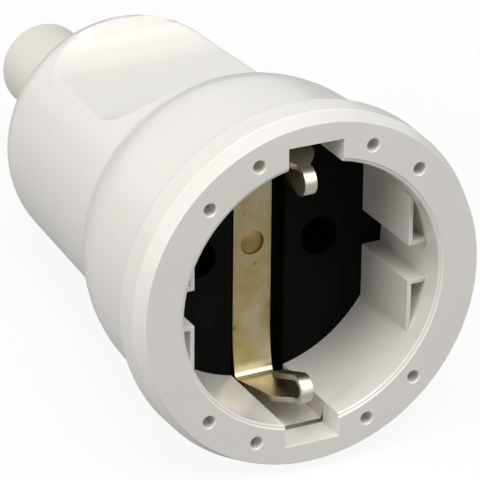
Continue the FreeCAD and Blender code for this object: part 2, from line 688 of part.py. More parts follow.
def make_grip_shell():
    """Moulded grip: spigot in front, finger scoops above and below, domed heel with the cord hole."""
    body = new_body("grip_shell")
    entry = "nose_radius + slip"
    revolve(body, "grip_wall", [
        (entry, CARRIER_BACK),
        (BORE_RADIUS, CARRIER_BACK),
        (BORE_RADIUS, COLLAR_BACK + " - grip_step"),
        (GRIP_RADIUS, COLLAR_BACK + " - grip_step"),
        (HEEL_RADIUS, HEEL_DEPTH, "heel_round", -1),
        (DOME_RADIUS, DOME_DEPTH, "dome_curve", -1),
        (entry, GRIP_BACK),
    ])
    scoop_front = "(%s + scoop_setback)" % COLLAR_BACK
    scoop_back = "(%s + scoop_overrun)" % HEEL_DEPTH
    scoop = outline(new_sketch(body, "scoop_sketch", "YZ_Plane"), [
        (scoop_front, "scoop_floor + scoop_front_curve", "scoop_front_curve", -1),
        (scoop_front + " + scoop_front_curve", "scoop_floor"),
        (scoop_back + " - scoop_rear_curve", "scoop_floor", "scoop_rear_curve", -1),
        (scoop_back, "scoop_floor + scoop_rear_curve"),
        (scoop_back, "scoop_floor + scoop_front_curve"),
    ])
    scoop_cut = pocket(body, "upper_scoop", scoop, "4 * " + GRIP_RADIUS, symmetric=True)
    mirror(body, "lower_scoop", [scoop_cut], "XY_Plane")
    revolve(body, "throat", [
        ("0", CARRIER_BACK),
        (THROAT_RADIUS, CARRIER_BACK),
        (THROAT_RADIUS, THROAT_BACK),
        ("0", THROAT_BACK),
    ], cut=True)
    half_flat = "sqrt(%s^2 - %s^2)" % (CAVITY_RADIUS, CAVITY_HALF)
    cavity = outline(facing_front(body, "cavity_sketch", CARRIER_BACK), [
        ("-" + half_flat, "-" + CAVITY_HALF),
        (half_flat, "-" + CAVITY_HALF, CAVITY_RADIUS, -1),
        (half_flat, CAVITY_HALF),
        ("-" + half_flat, CAVITY_HALF, CAVITY_RADIUS, -1),
    ])
    pocket(body, "wire_cavity", cavity, "%s - %s" % (CAVITY_BACK, CARRIER_BACK))
    seat = circles(facing_front(body, "grommet_seat_sketch", CAVITY_BACK), [("0", "0", "grommet_flange + slip")])
    pocket(body, "grommet_seat", seat, "%s - end_wall - %s" % (GRIP_BACK, CAVITY_BACK))
    bosses = circles(new_sketch(body, "clamp_boss_sketch", "XY_Plane", "-%s - 1" % CAVITY_HALF), [
        ("-clamp_spacing / 2", CLAMP_DEPTH, "clamp_boss_radius"),
        ("clamp_spacing / 2", CLAMP_DEPTH, "clamp_boss_radius"),
    ])
    pad(body, "clamp_bosses", bosses, CAVITY_HALF + " + 1 + clamp_height")
    holes = circles(new_sketch(body, "clamp_hole_sketch", "XY_Plane", "clamp_height"), [
        ("-clamp_spacing / 2", CLAMP_DEPTH, "clamp_screw_radius"),
        ("clamp_spacing / 2", CLAMP_DEPTH, "clamp_screw_radius"),
    ])
    pocket(body, "clamp_screw_holes", holes, "clamp_screw_length - clamp_thickness + slip")
    return body


def make_cord_grommet():
    """Soft nose: a bored sleeve through the heel, held by a flange inside the grip."""
    body = new_body("cord_grommet")
    seat = "(%s - end_wall)" % GRIP_BACK
    revolve(body, "grommet", [
        ("cord_radius", "%s - grommet_flange_length" % seat),
        ("grommet_flange", "%s - grommet_flange_length" % seat),
        ("grommet_flange", seat),
        ("nose_radius", seat),
        ("nose_radius", NOSE_BACK + " - nose_chamfer"),
        ("nose_radius - nose_chamfer", NOSE_BACK),
        ("cord_radius + cord_chamfer", NOSE_BACK),
        ("cord_radius", NOSE_BACK + " - cord_chamfer"),
    ])
    return body


def make_cord_clamp_bar():
    """Moulded strain-relief bar across the two bosses, with a rounded saddle over the cord."""
    body = new_body("cord_clamp_bar")
    ends = "clamp_length / 2 - clamp_width / 2"
    bar = outline(new_sketch(body, "bar_sketch", "XY_Plane", "clamp_height"), [
        ("-(%s)" % ends, CLAMP_DEPTH + " - clamp_width / 2"),
        (ends, CLAMP_DEPTH + " - clamp_width / 2"),
        ("clamp_length / 2", CLAMP_DEPTH),
        (ends, CLAMP_DEPTH + " + clamp_width / 2"),
        ("-(%s)" % ends, CLAMP_DEPTH + " + clamp_width / 2"),
        ("-clamp_length / 2", CLAMP_DEPTH),
    ])
    pad(body, "bar", bar, "clamp_thickness")
    saddle = circles(facing_front(body, "saddle_sketch", CLAMP_DEPTH),
                     [("0", "0", "cord_radius + clamp_thickness / 3")])
    pocket(body, "saddle", saddle, "2 * clamp_width", symmetric=True)
    holes = circles(new_sketch(body, "hole_sketch", "XY_Plane", "clamp_height + clamp_thickness"), [
        ("-clamp_spacing / 2", CLAMP_DEPTH, "clamp_screw_radius + slip"),
        ("clamp_spacing / 2", CLAMP_DEPTH, "clamp_screw_radius + slip"),
    ])
    pocket(body, "holes", holes, "clamp_thickness")
    return body


def lying_placement():
    """Where the socket comes to rest on a table: on the flange's rear edge and the grip's rounded heel.

    The lean is that of the line from the flange's edge that touches the heel's arc. The origin is under the
    middle of the part's box, on the table.
    """
    edge = FreeCAD.Vector(value(FLANGE_RADIUS), value("flange_depth - flange_chamfer"), 0)
    heel_start = FreeCAD.Vector(value(HEEL_RADIUS), value(HEEL_DEPTH), 0)
    heel_finish = FreeCAD.Vector(value(DOME_RADIUS), value(DOME_DEPTH), 0)
    heel = arc_between(heel_start, heel_finish, value("heel_round"), -1)
    rise, run = edge.x - heel.Center.x, heel.Center.y - edge.y
    lean = math.atan2(rise, run) - math.asin(heel.Radius / math.hypot(rise, run))
    height = edge.y * math.sin(lean) + edge.x * math.cos(lean)
    foremost = -value(FACE_RADIUS) * math.sin(lean)
    rearmost = value(NOSE_BACK) * math.cos(lean) + value("nose_radius - nose_chamfer") * math.sin(lean)
    middle = (foremost + rearmost) / 2
    print("lean %.4f degrees, axis point at y %.4f z %.4f" % (math.degrees(lean), -middle, height))
    return FreeCAD.Placement(FreeCAD.Vector(0, -middle, height),
                             FreeCAD.Rotation(FreeCAD.Vector(1, 0, 0), -math.degrees(lean)))


left, right = "-pin_pitch / 2", "pin_pitch / 2"
terminal_depth = SLEEVE_BACK + " - terminal_screw_setback"
subparts = [
    make_front_collar(),
    make_well_liner(),
    make_contact_carrier(),
    make_earth_strap(),
    make_earth_post(),
    make_earth_terminal(),
    make_terminal_screw("earth_terminal_screw", "0", BLOCK_FRONT + " + block_depth - block_screw_setback",
                        "block_height - block_top", "block_screw_drop"),
    make_contact_retainer(),
    make_grip_shell(),
    make_cord_grommet(),
    make_cord_clamp_bar(),
]
for name, across in (("line", left), ("neutral", right)):
    subparts.append(make_contact(name + "_contact", across))
    subparts.append(make_spring_ring(name + "_spring_ring", across))
    subparts.append(make_terminal_screw(name + "_terminal_screw", across, terminal_depth, "sleeve_radius", "0"))
for name, height in (("upper", "boss_offset"), ("lower", "-boss_offset")):
    subparts.append(make_screw("retainer_screw_" + name, ("0", TOWER_BACK + " + retainer_thickness", height),
                               (0, -1, 0), "retainer_screw_radius", "retainer_screw_length",
                               "retainer_screw_head", "retainer_screw_head_height"))
for name, across in (("left", "-clamp_spacing / 2"), ("right", "clamp_spacing / 2")):
    subparts.append(make_screw("cord_clamp_screw_" + name, (across, CLAMP_DEPTH, "clamp_height + clamp_thickness"),
                               (0, 0, -1), "clamp_screw_radius", "clamp_screw_length",
                               "clamp_screw_head", "clamp_screw_head_height"))

lying = lying_placement()
for subpart in subparts:
    subpart.Placement = lying.multiply(subpart.Placement)
doc.recompute()

for item in doc.Objects:
    if "Invalid" in item.State or "Error" in item.State:
        raise ValueError("%s failed to build" % item.Label)
for subpart in subparts:
    if subpart.Shape.isNull() or not subpart.Shape.isValid():
        raise ValueError("%s has no valid shape" % subpart.Label)

os.makedirs("parts", exist_ok=True)
for subpart in subparts:
    subpart.Shape.exportStep("parts/%s.step" % subpart.Label)
    print("%s: %d solid, %.1f mm3" % (subpart.Label, len(subpart.Shape.Solids), subpart.Shape.Volume))
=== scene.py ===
import json
import math

import bmesh
import bpy
from mathutils import Matrix, Vector


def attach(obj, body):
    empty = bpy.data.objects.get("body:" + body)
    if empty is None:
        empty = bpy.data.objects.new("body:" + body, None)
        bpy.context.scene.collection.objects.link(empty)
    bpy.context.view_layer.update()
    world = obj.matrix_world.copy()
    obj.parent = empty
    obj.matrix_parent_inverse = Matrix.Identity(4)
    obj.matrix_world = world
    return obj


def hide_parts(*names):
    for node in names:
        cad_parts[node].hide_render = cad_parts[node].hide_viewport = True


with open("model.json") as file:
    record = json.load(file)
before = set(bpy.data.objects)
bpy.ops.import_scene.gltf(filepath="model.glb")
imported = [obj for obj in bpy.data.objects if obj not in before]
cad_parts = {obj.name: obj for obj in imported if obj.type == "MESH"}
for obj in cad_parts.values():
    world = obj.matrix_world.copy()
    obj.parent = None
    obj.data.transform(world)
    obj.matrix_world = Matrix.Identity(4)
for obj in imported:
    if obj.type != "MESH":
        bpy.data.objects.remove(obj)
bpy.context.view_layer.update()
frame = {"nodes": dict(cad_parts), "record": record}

# Front collar: one white moulding with the face ring, the flange and the bell.
# It is injection moulded in ABS and snaps over the grip; the face has blind dimples
# from the mould and the lip is slotted above and below for the earth clips.

# The socket is modelled along its own axis in millimetres, with depth along +Y from the face.
# It lies on the flange and the heel, so its axis leans down towards the rear. The mount in the mouth
# of the well gives the middle of the face and the way that it looks.
well = next(mount for mount in frame["record"]["mounts"] if mount["name"] == "plug_well")
face_middle = Vector(well["pos_m"])
axis_lean = math.atan2(well["axis"][2], -well["axis"][1])
leaning = Matrix.Rotation(-axis_lean, 4, "X")
lying = Matrix.Translation(face_middle) @ leaning @ Matrix.Scale(0.001, 4)


def arc_centre(start, finish, radius, side):
    """Centre of the short arc between two points, which bulges to the right with side -1."""
    chord = finish - start
    left = Vector((-chord.y, chord.x, 0)).normalized()
    return (start + finish) / 2 - left * side * math.sqrt(radius ** 2 - (chord.length / 2) ** 2)


def turned(corners, steps):
    """Turn a closed half-section of (radius, depth) corners, where a radius and a side start an arc."""
    arc_step = 0.12
    merged = 1e-4
    bm = bmesh.new()
    last = bm.verts.new((corners[0][0], corners[0][1], 0))
    for corner, following in zip(corners, corners[1:] + corners[:1]):
        target = Vector((following[0], following[1], 0))
        if len(corner) == 2:
            last = bmesh.ops.extrude_vert_indiv(bm, verts=[last])["verts"][0]
            last.co = target
            continue
        centre = arc_centre(last.co, target, corner[2], corner[3])
        angle = -corner[3] * (last.co - centre).angle(target - centre)
        swept = bmesh.ops.spin(bm, geom=[last], cent=centre, axis=(0, 0, 1), angle=angle,
                               steps=max(3, round(abs(angle) / arc_step)))
        last = next(item for item in swept["geom_last"] if isinstance(item, bmesh.types.BMVert))
    bmesh.ops.remove_doubles(bm, verts=bm.verts, dist=merged)
    bmesh.ops.spin(bm, geom=bm.verts[:] + bm.edges[:], cent=(0, 0, 0), axis=(0, 1, 0), angle=2 * math.pi,
                   steps=steps, use_merge=True)
    bmesh.ops.remove_doubles(bm, verts=bm.verts, dist=merged)
    bmesh.ops.recalc_face_normals(bm, faces=bm.faces)
    return bm


def ease_edges(bm, width, sharper_than, wanted=lambda middle: True):
    """Round the edges sharper than an angle, as a mould leaves them, where their middles are wanted."""
    least = math.radians(sharper_than)
    sharp = [edge for edge in bm.edges if edge.is_manifold and edge.calc_face_angle() > least]
    sharp = [edge for edge in sharp if wanted((edge.verts[0].co + edge.verts[1].co) / 2)]
    bmesh.ops.bevel(bm, geom=sharp, offset=width, offset_type="OFFSET", segments=2, profile=0.5,
                    affect="EDGES", clamp_overlap=True, material=-1)


def add_block(bm, low, high):
    """Add a box between two corners."""
    low, high = Vector(low), Vector(high)
    place = Matrix.Translation((low + high) / 2) @ Matrix.Diagonal((*(high - low), 1))
    bmesh.ops.create_cube(bm, size=1, matrix=place)


def add_rod(bm, radius, front, back, across, up, segments):
    """Add a cylinder along the socket's axis."""
    place = Matrix.Translation((across, (front + back) / 2, up)) @ Matrix.Rotation(math.pi / 2, 4, "X")
    bmesh.ops.create_cone(bm, cap_ends=True, segments=segments, radius1=radius, radius2=radius,
                          depth=back - front, matrix=place)


def flare(bm, width):
    """Widen each cutter at its front end and carry it on, so that the hole it leaves has an eased rim."""
    clear = 1.0
    start = min(face.calc_center_median().y for face in bm.faces)
    fronts = [face for face in bm.faces if face.calc_center_median().y < start + 1e-3]
    for reach, spread in ((width, width), (clear, 0)):
        fronts = bmesh.ops.extrude_discrete_faces(bm, faces=fronts)["faces"]
        for front in fronts:
            middle = front.calc_center_median()
            for vert in front.verts:
                outward = Vector((vert.co.x - middle.x, 0, vert.co.z - middle.z))
                vert.co += outward.normalized() * spread + Vector((0, -reach, 0))
    bmesh.ops.recalc_face_normals(bm, faces=bm.faces)


def carve(bm, tool):
    """Take a closed tool, whose own parts may overlap, out of a closed mesh."""
    objects = []
    for name, source in (("blank", bm), ("tool", tool)):
        mesh = bpy.data.meshes.new(name)
        source.to_mesh(mesh)
        source.free()
        objects.append(bpy.data.objects.new(name, mesh))
        bpy.context.scene.collection.objects.link(objects[-1])
    step = objects[0].modifiers.new("carve", "BOOLEAN")
    step.object = objects[1]
    step.operation = "DIFFERENCE"
    step.solver = "EXACT"
    step.use_self = True
    carved = bmesh.new()
    carved.from_object(objects[0], bpy.context.evaluated_depsgraph_get())
    for item in objects:
        mesh = item.data
        bpy.data.objects.remove(item)
        bpy.data.meshes.remove(mesh)
    return carved


def seat(bm, name, material, node):
    """Clear a finished piece of slivers and lay it where the socket lies, in the place of its solid."""
    sliver = 1e-3
    crease = math.radians(35)
    bmesh.ops.remove_doubles(bm, verts=bm.verts, dist=sliver)
    many_sided = [face for face in bm.faces if len(face.verts) > 4]
    bmesh.ops.triangulate(bm, faces=many_sided, quad_method="BEAUTY", ngon_method="BEAUTY")
    bmesh.ops.dissolve_degenerate(bm, edges=bm.edges, dist=sliver)
    bmesh.ops.transform(bm, matrix=lying, verts=bm.verts)
    mesh = bpy.data.meshes.new(name)
    bm.to_mesh(mesh)
    bm.free()
    mesh.shade_smooth()
    mesh.set_sharp_from_angle(angle=crease)
    mesh.materials.append(material)
    piece = bpy.data.objects.new(name, mesh)
    bpy.context.scene.collection.objects.link(piece)
    facing = piece.modifiers.new("facing", "WEIGHTED_NORMAL")
    facing.keep_sharp = True
    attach(piece, "root")
    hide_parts(node)


def linear(code):
    """An sRGB hex colour as linear light."""
    parts = [int(code[place:place + 2], 16) / 255 for place in (1, 3, 5)]
    light = [part / 12.92 if part <= 0.04045 else ((part + 0.055) / 1.055) ** 2.4 for part in parts]
    return light + [1.0]


def add_node(tree, kind, settings=None, inputs=None):
    """Add one node; an input is a plain value or another node's output."""
    node = tree.nodes.new(kind)
    for name, setting in (settings or {}).items():
        setattr(node, name, setting)
    for name, source in (inputs or {}).items():
        if isinstance(source, bpy.types.NodeSocket):
            tree.links.new(source, node.inputs[name])
        else:
            node.inputs[name].default_value = source
    return node


def new_material(name):
    """Add a material with an empty node tree."""
    material = bpy.data.materials.new(name)
    material.use_nodes = True
    material.node_tree.nodes.clear()
    return material


# Injection-moulded ABS: an off-white, faintly warm plastic with a polished skin. The eye sees a clean
# soft gloss, a slow mottle of tone, wiped patches and an orange-peel ripple.
# A pattern's scale is how many of its marks lie in a metre: the mottle's 70 are about 14 mm across,
# the wiped patches' 260 about 4 mm and the ripple's 700 about 1.4 mm.
white_abs = new_material("white_moulded_abs")
tree = white_abs.node_tree
where = add_node(tree, "ShaderNodeTexCoord").outputs["Object"]
mottle = add_node(tree, "ShaderNodeTexNoise", inputs={"Vector": where, "Scale": 70, "Detail": 3})
tone = add_node(tree, "ShaderNodeMix", {"data_type": "RGBA"},
                {0: mottle.outputs["Fac"], 6: linear("#e9e6df"), 7: linear("#f0ede7")})
wipe = add_node(tree, "ShaderNodeTexNoise",
                inputs={"Vector": where, "Scale": 260, "Detail": 4, "Roughness": 0.6})
gloss = add_node(tree, "ShaderNodeMapRange",
                 inputs={"Value": wipe.outputs["Fac"], "From Min": 0.3, "From Max": 0.7,
                         "To Min": 0.16, "To Max": 0.24})
peel = add_node(tree, "ShaderNodeTexNoise", inputs={"Vector": where, "Scale": 700, "Detail": 2})
ripple = add_node(tree, "ShaderNodeBump",
                  inputs={"Height": peel.outputs["Fac"], "Strength": 0.05, "Distance": 0.0001})
skin = add_node(tree, "ShaderNodeBsdfPrincipled",
                inputs={"Base Color": tone.outputs[2], "Roughness": gloss.outputs[0], "IOR": 1.53,
                        "Normal": ripple.outputs["Normal"], "Subsurface Weight": 0.06,
                        "Subsurface Radius": (0.0012, 0.0011, 0.0009)})
add_node(tree, "ShaderNodeOutputMaterial", inputs={"Surface": skin.outputs["BSDF"]})

well_radius = 19.5
lip_depth = 4.6
collar_bore = 20.4
collar_end = 28.9
collar = turned([
    (well_radius + 0.62, 0),
    (25.35, 0),
    (26.15, 2.3),
    (26.1, 2.36),
    (26.21, 2.46),
    (26.3, 6.0, 0.9, -1),
    (25.4, 6.9),
    (25.3, 6.9, 0.8, 1),
    (24.5, 7.7),
    (24.05, 19.5, 18.0, -1),
    (22.2, 27.3, 4.0, -1),
    (20.8, collar_end),
    (collar_bore, collar_end),
    (collar_bore, lip_depth),
    (well_radius, lip_depth),
    (well_radius, 0.45),
    (well_radius + 0.2, 0.22),
    (well_radius + 0.4, 0.22),
], 256)
# The outer edges are eased, but not the fine step in the side of the face ring.
ease_edges(collar, 0.1, 30, lambda middle: math.hypot(middle.x, middle.z) > 22 and not 1 < middle.y < 3)


def above_and_below(near, far):
    """The two spans of height that lie this far above and below the axis."""
    return (near, far), (-far, -near)


# Each slot in the lip opens into a wider keyway for the liner's ear, hollowed out behind the slot's floor.
rim = 0.15
slot_half = 4.11
slot_floor = 22.4
slot_root = 15
keyway_half = 4.95
keyway_floor = 22.8
keyway_end = 22.2
hollow_half = 4.8
hollow_root = 22.5
hollow_floor = 24.2
openings = bmesh.new()
keyways = bmesh.new()
for low, high in above_and_below(slot_root, slot_floor):
    add_block(openings, (-slot_half, rim, low), (slot_half, lip_depth + 0.2, high))
for low, high in above_and_below(slot_root, keyway_floor):
    add_block(keyways, (-keyway_half, lip_depth, low), (keyway_half, keyway_end, high))
for low, high in above_and_below(hollow_root, hollow_floor):
    add_block(keyways, (-hollow_half, lip_depth + 0.05, low), (hollow_half, lip_depth + 2.0, high))
dimple_circle = 22.4
dimple_radius = 0.9
dimple_depth = 2.4
for angle in (-45, -22.5, 22.5, 45, 135, 157.5, 202.5, 225):
    turn = math.radians(angle)
    across = dimple_circle * math.sin(turn)
    up = dimple_circle * math.cos(turn)
    add_rod(openings, dimple_radius, rim, dimple_depth, across, up, 32)
flare(openings, rim)
collar = carve(carve(collar, keyways), openings)
seat(collar, "collar_moulding", white_abs, "front_collar")

# Well liner: a thin white tube behind the lip, keyed to the collar by an ear round each earth slot.
# It is moulded in the same ABS, with guide ribs on both sides whose ends are cored out.


def from_solid(node):
    """The piece's own solid as one merged mesh, back in millimetres along the socket's axis."""
    merged = 2e-6
    flat = math.radians(0.6)
    bm = bmesh.new()
    bm.from_mesh(frame["nodes"][node].data)
    bmesh.ops.remove_doubles(bm, verts=bm.verts, dist=merged)
    bmesh.ops.transform(bm, matrix=lying.inverted(), verts=bm.verts)
    bmesh.ops.dissolve_limit(bm, angle_limit=flat, verts=bm.verts, edges=bm.edges)
    return bm


liner = from_solid("well_liner")
# Only the ribs inside the tube are eased.
ease_edges(liner, 0.1, 50, lambda middle: middle.x ** 2 + middle.z ** 2 < 19 ** 2)
# The front of the tube meets the lip. Each ear stops short of it and is cut back underneath, so that a
# dark seam shows behind the slot's floor. Only the corners of the solid's own front plane are moved.
solid_front = 4.75
tube_inside = 19.2
tube_outside = 20.4
tube_front = 4.62
ear_front = 5.35
ear_floor = 22.2
ear_outside = 22.6
ear_undercut = 7.0
for vert in liner.verts:
    radius = math.hypot(vert.co.x, vert.co.z)
    if abs(vert.co.y - solid_front) > 0.05 or radius < tube_inside:
        continue
    if radius > ear_outside:
        vert.co.y = ear_undercut
    elif abs(vert.co.z) > tube_outside:
        vert.co.y = ear_front
        vert.co.z = math.copysign(ear_floor, vert.co.z)
    else:
        vert.co.y = tube_front
seat(liner, "liner_moulding", white_abs, "well_liner")

# Contact carrier: the black floor of the well, with the pin holes and the channel for the earth strap.
# It is compression moulded in a thermoset, so it is hard, matt and a little dusty.

# Black thermoset: a dense black with a dull moulded skin. The eye sees almost no colour, a faint grey
# bloom of dust in patches about 5 mm across (200 to the metre) and a fine grain of 0.4 mm (2500).
black_thermoset = new_material("black_moulded_thermoset")
tree = black_thermoset.node_tree
where = add_node(tree, "ShaderNodeTexCoord").outputs["Object"]
dust = add_node(tree, "ShaderNodeTexNoise",
                inputs={"Vector": where, "Scale": 200, "Detail": 6, "Roughness": 0.65})
bloom = add_node(tree, "ShaderNodeMapRange",
                 inputs={"Value": dust.outputs["Fac"], "From Min": 0.45, "From Max": 0.8})
paint = add_node(tree, "ShaderNodeMix", {"data_type": "RGBA"},
                 {0: bloom.outputs[0], 6: linear("#040404"), 7: linear("#0c0b0b")})
grain = add_node(tree, "ShaderNodeTexNoise", inputs={"Vector": where, "Scale": 2500, "Detail": 2})
tooth = add_node(tree, "ShaderNodeBump",
                 inputs={"Height": grain.outputs["Fac"], "Strength": 0.12, "Distance": 0.00005})
skin = add_node(tree, "ShaderNodeBsdfPrincipled",
                inputs={"Base Color": paint.outputs[2], "Roughness": 0.7, "IOR": 1.5,
                        "Specular IOR Level": 0.08, "Normal": tooth.outputs["Normal"]})
add_node(tree, "ShaderNodeOutputMaterial", inputs={"Surface": skin.outputs["BSDF"]})

carrier = from_solid("contact_carrier")
ease_edges(carrier, 0.12, 50)
seat(carrier, "carrier_moulding", black_thermoset, "contact_carrier")

# Earth strap: one strip of nickelled brass laid in the carrier's channel and folded forward at both ends.
# Each leg narrows to a tongue that is rolled into a springy hairpin, the clip that touches the plug.

# Nickelled brass strip: a thin grey-gold plating, rolled along its length. The eye sees a soft satin gleam,
# dull patches about 4 mm across (240 to the metre) that are a yellower gold where the plating is worn,
# brown specks of tarnish about 1 mm (900), and rolling lines about 0.2 mm apart and 3 mm long (5200, 300).
nickelled_brass = new_material("nickelled_brass_strip")
tree = nickelled_brass.node_tree
where = add_node(tree, "ShaderNodeTexCoord").outputs["Object"]
patch = add_node(tree, "ShaderNodeTexNoise",
                 inputs={"Vector": where, "Scale": 240, "Detail": 5, "Roughness": 0.6})
worn = add_node(tree, "ShaderNodeMapRange",
                inputs={"Value": patch.outputs["Fac"], "From Min": 0.35, "From Max": 0.7})
tone = add_node(tree, "ShaderNodeMix", {"data_type": "RGBA"},
                {0: worn.outputs[0], 6: linear("#b5ab90"), 7: linear("#a8945f")})
# The strip's colour changes with its depth in the well: a pale painted highlight along the fold, painted
# shade up the leg, and it is rubbed to a clean silver on the clip's nose. Each change runs from one depth
# to a lesser one, in millimetres from the face.
inward = (0, math.cos(axis_lean), -math.sin(axis_lean))
face = face_middle.dot(Vector(inward))
depth = add_node(tree, "ShaderNodeVectorMath", {"operation": "DOT_PRODUCT"}, {0: where, 1: inward})
changes = (
    # Along the fold: a painted highlight in pale cream.
    (18.42, 18.22, 0.85, "#f4e8c6"),
    # Up the leg: painted shade, a dull dark brown.
    (17.3, 16.8, 0.75, "#756844"),
    (8.0, 4.0, 0.85, "#dcd8cc"),
)
for back, front, most, code in changes:
    band = add_node(tree, "ShaderNodeMapRange",
                    inputs={"Value": depth.outputs["Value"], "From Min": face + back / 1000,
                            "From Max": face + front / 1000, "To Max": most})
    tone = add_node(tree, "ShaderNodeMix", {"data_type": "RGBA"},
                    {0: band.outputs[0], 6: tone.outputs[2], 7: linear(code)})
spot = add_node(tree, "ShaderNodeTexNoise", inputs={"Vector": where, "Scale": 900, "Detail": 3})
tarnish = add_node(tree, "ShaderNodeMapRange",
                   inputs={"Value": spot.outputs["Fac"], "From Min": 0.66, "From Max": 0.76, "To Max": 0.6})
paint = add_node(tree, "ShaderNodeMix", {"data_type": "RGBA"},
                 {0: tarnish.outputs[0], 6: tone.outputs[2], 7: linear("#4a3c22")})
dull = add_node(tree, "ShaderNodeMapRange",
                inputs={"Value": patch.outputs["Fac"], "From Min": 0.3, "From Max": 0.7,
                        "To Min": 0.26, "To Max": 0.42})
rolled = add_node(tree, "ShaderNodeMapping", inputs={"Vector": where, "Scale": (5200, 300, 300)})
lines = add_node(tree, "ShaderNodeTexNoise", inputs={"Vector": rolled.outputs[0], "Scale": 1, "Detail": 2})
brush = add_node(tree, "ShaderNodeBump",
                 inputs={"Height": lines.outputs["Fac"], "Strength": 0.12, "Distance": 0.00003})
plate = add_node(tree, "ShaderNodeBsdfPrincipled",
                 inputs={"Base Color": paint.outputs[2], "Metallic": 1.0, "Roughness": dull.outputs[0],
                         "Normal": brush.outputs["Normal"]})
add_node(tree, "ShaderNodeOutputMaterial", inputs={"Surface": plate.outputs["BSDF"]})

strap = from_solid("earth_strap")
# The strip bows forward a little before each fold, where it was pressed over the carrier's edge.
# It is cut across every half millimetre there, and the bow dies away up the leg.
bow = 0.7
bow_start = 13
bow_end = 19.25
strip_depth = 18.7
leg_depth = 16
for height in [bow_start + 0.5 * step for step in range(13)]:
    for side in (-1, 1):
        bmesh.ops.bisect_plane(strap, geom=strap.verts[:] + strap.edges[:] + strap.faces[:],
                               plane_co=(0, 0, side * height), plane_no=(0, 0, 1))
for vert in strap.verts:
    rise = min(max((abs(vert.co.z) - bow_start) / (bow_end - bow_start), 0), 1)
    share = min(max((vert.co.y - leg_depth) / (strip_depth - leg_depth), 0), 1)
    vert.co.y -= bow * rise ** 2 * share
ease_edges(strap, 0.1, 50)
seat(strap, "strap_pressing", nickelled_brass, "earth_strap")

# Earth post: a turned brass post whose front end fills the hole in the middle of the strap.
# Its end is slightly crowned where it was staked.

# Turned brass: a warm yellow metal. The eye sees a satin gleam, dulled by a brown film in patches about
# 2 mm across (500 to the metre).
turned_brass = new_material("turned_brass")
tree = turned_brass.node_tree
where = add_node(tree, "ShaderNodeTexCoord").outputs["Object"]
film = add_node(tree, "ShaderNodeTexNoise", inputs={"Vector": where, "Scale": 500, "Detail": 4})
paint = add_node(tree, "ShaderNodeMix", {"data_type": "RGBA"},
                 {0: film.outputs["Fac"], 6: linear("#a8925a"), 7: linear("#80683a")})
dull = add_node(tree, "ShaderNodeMapRange",
                inputs={"Value": film.outputs["Fac"], "From Min": 0.3, "From Max": 0.7,
                        "To Min": 0.32, "To Max": 0.5})
bar = add_node(tree, "ShaderNodeBsdfPrincipled",
               inputs={"Base Color": paint.outputs[2], "Metallic": 1.0, "Roughness": dull.outputs[0]})
add_node(tree, "ShaderNodeOutputMaterial", inputs={"Surface": bar.outputs["BSDF"]})

post_radius = 1.75
post_end = 38.8
post = turned([(0, 19.0), (1.2, 19.04), (post_radius, 19.2), (post_radius, post_end), (0, post_end)], 64)
seat(post, "post_staked_end", turned_brass, "earth_post")

# Contacts, springs, screws and retainer: the fittings inside the grip and the towers.
# They are seen only through the pin holes, so they keep their solids' own shapes.

# Contact brass, coloured a near-black brown as painted shade, so that the pin holes read dark. The eye sees
# a rough metal almost without gleam, with a darker film in patches about 2.5 mm across (400 to the metre).
brass_painted_dark = new_material("brass_in_painted_shade")
tree = brass_painted_dark.node_tree
where = add_node(tree, "ShaderNodeTexCoord").outputs["Object"]
film = add_node(tree, "ShaderNodeTexNoise", inputs={"Vector": where, "Scale": 400, "Detail": 4})
paint = add_node(tree, "ShaderNodeMix", {"data_type": "RGBA"},
                 {0: film.outputs["Fac"], 6: linear("#2c2413"), 7: linear("#1a150b")})
bar = add_node(tree, "ShaderNodeBsdfPrincipled",
               inputs={"Base Color": paint.outputs[2], "Metallic": 1.0, "Roughness": 0.6})
add_node(tree, "ShaderNodeOutputMaterial", inputs={"Surface": bar.outputs["BSDF"]})

# Zinc-plated steel: a pale blue-grey metal. The eye sees a soft gleam and cloudy patches about 1.7 mm
# across (600 to the metre).
plated_steel = new_material("zinc_plated_steel")
tree = plated_steel.node_tree
where = add_node(tree, "ShaderNodeTexCoord").outputs["Object"]
cloud = add_node(tree, "ShaderNodeTexNoise", inputs={"Vector": where, "Scale": 600, "Detail": 3})
paint = add_node(tree, "ShaderNodeMix", {"data_type": "RGBA"},
                 {0: cloud.outputs["Fac"], 6: linear("#b4b8bb"), 7: linear("#d2d4d4")})
plating = add_node(tree, "ShaderNodeBsdfPrincipled",
                   inputs={"Base Color": paint.outputs[2], "Metallic": 1.0, "Roughness": 0.38})
add_node(tree, "ShaderNodeOutputMaterial", inputs={"Surface": plating.outputs["BSDF"]})

fittings = {
    # The contacts take the dark brass, whose colour is painted shade down the pin holes.
    "line_contact": brass_painted_dark,
    "neutral_contact": brass_painted_dark,
    "earth_terminal": brass_painted_dark,
    "line_spring_ring": plated_steel,
    "neutral_spring_ring": plated_steel,
    "line_terminal_screw": plated_steel,
    "neutral_terminal_screw": plated_steel,
    "earth_terminal_screw": plated_steel,
    "retainer_screw_upper": plated_steel,
    "retainer_screw_lower": plated_steel,
    "cord_clamp_screw_left": plated_steel,
    "cord_clamp_screw_right": plated_steel,
    "contact_retainer": black_thermoset,
    "cord_clamp_bar": white_abs,
}
for node, material in fittings.items():
    mesh = frame["nodes"][node].data
    mesh.materials.clear()
    mesh.materials.append(material)

# Grip shell: the white moulding held in the hand, waisted by a finger scoop above and below.
# It tapers a little to the rear, ends in a rounded heel, and plugs into the collar with a spigot.
spigot_front = 22.0
spigot_radius = 20.35
taper_start = 28.4
taper_end = 61.0
grip_inside = 16.5
heel_inside = 60.5
grip = turned([
    (spigot_radius, spigot_front),
    (spigot_radius, taper_start),
    (20.2, taper_start),
    (18.72, taper_end, 7.0, -1),
    (15.9, 66.2, 15.0, -1),
    (6.9, 70.6),
    (6.9, 65.6),
    (10.3, 65.6),
    (10.3, heel_inside),
    (grip_inside, heel_inside),
    (grip_inside, spigot_front),
], 320)
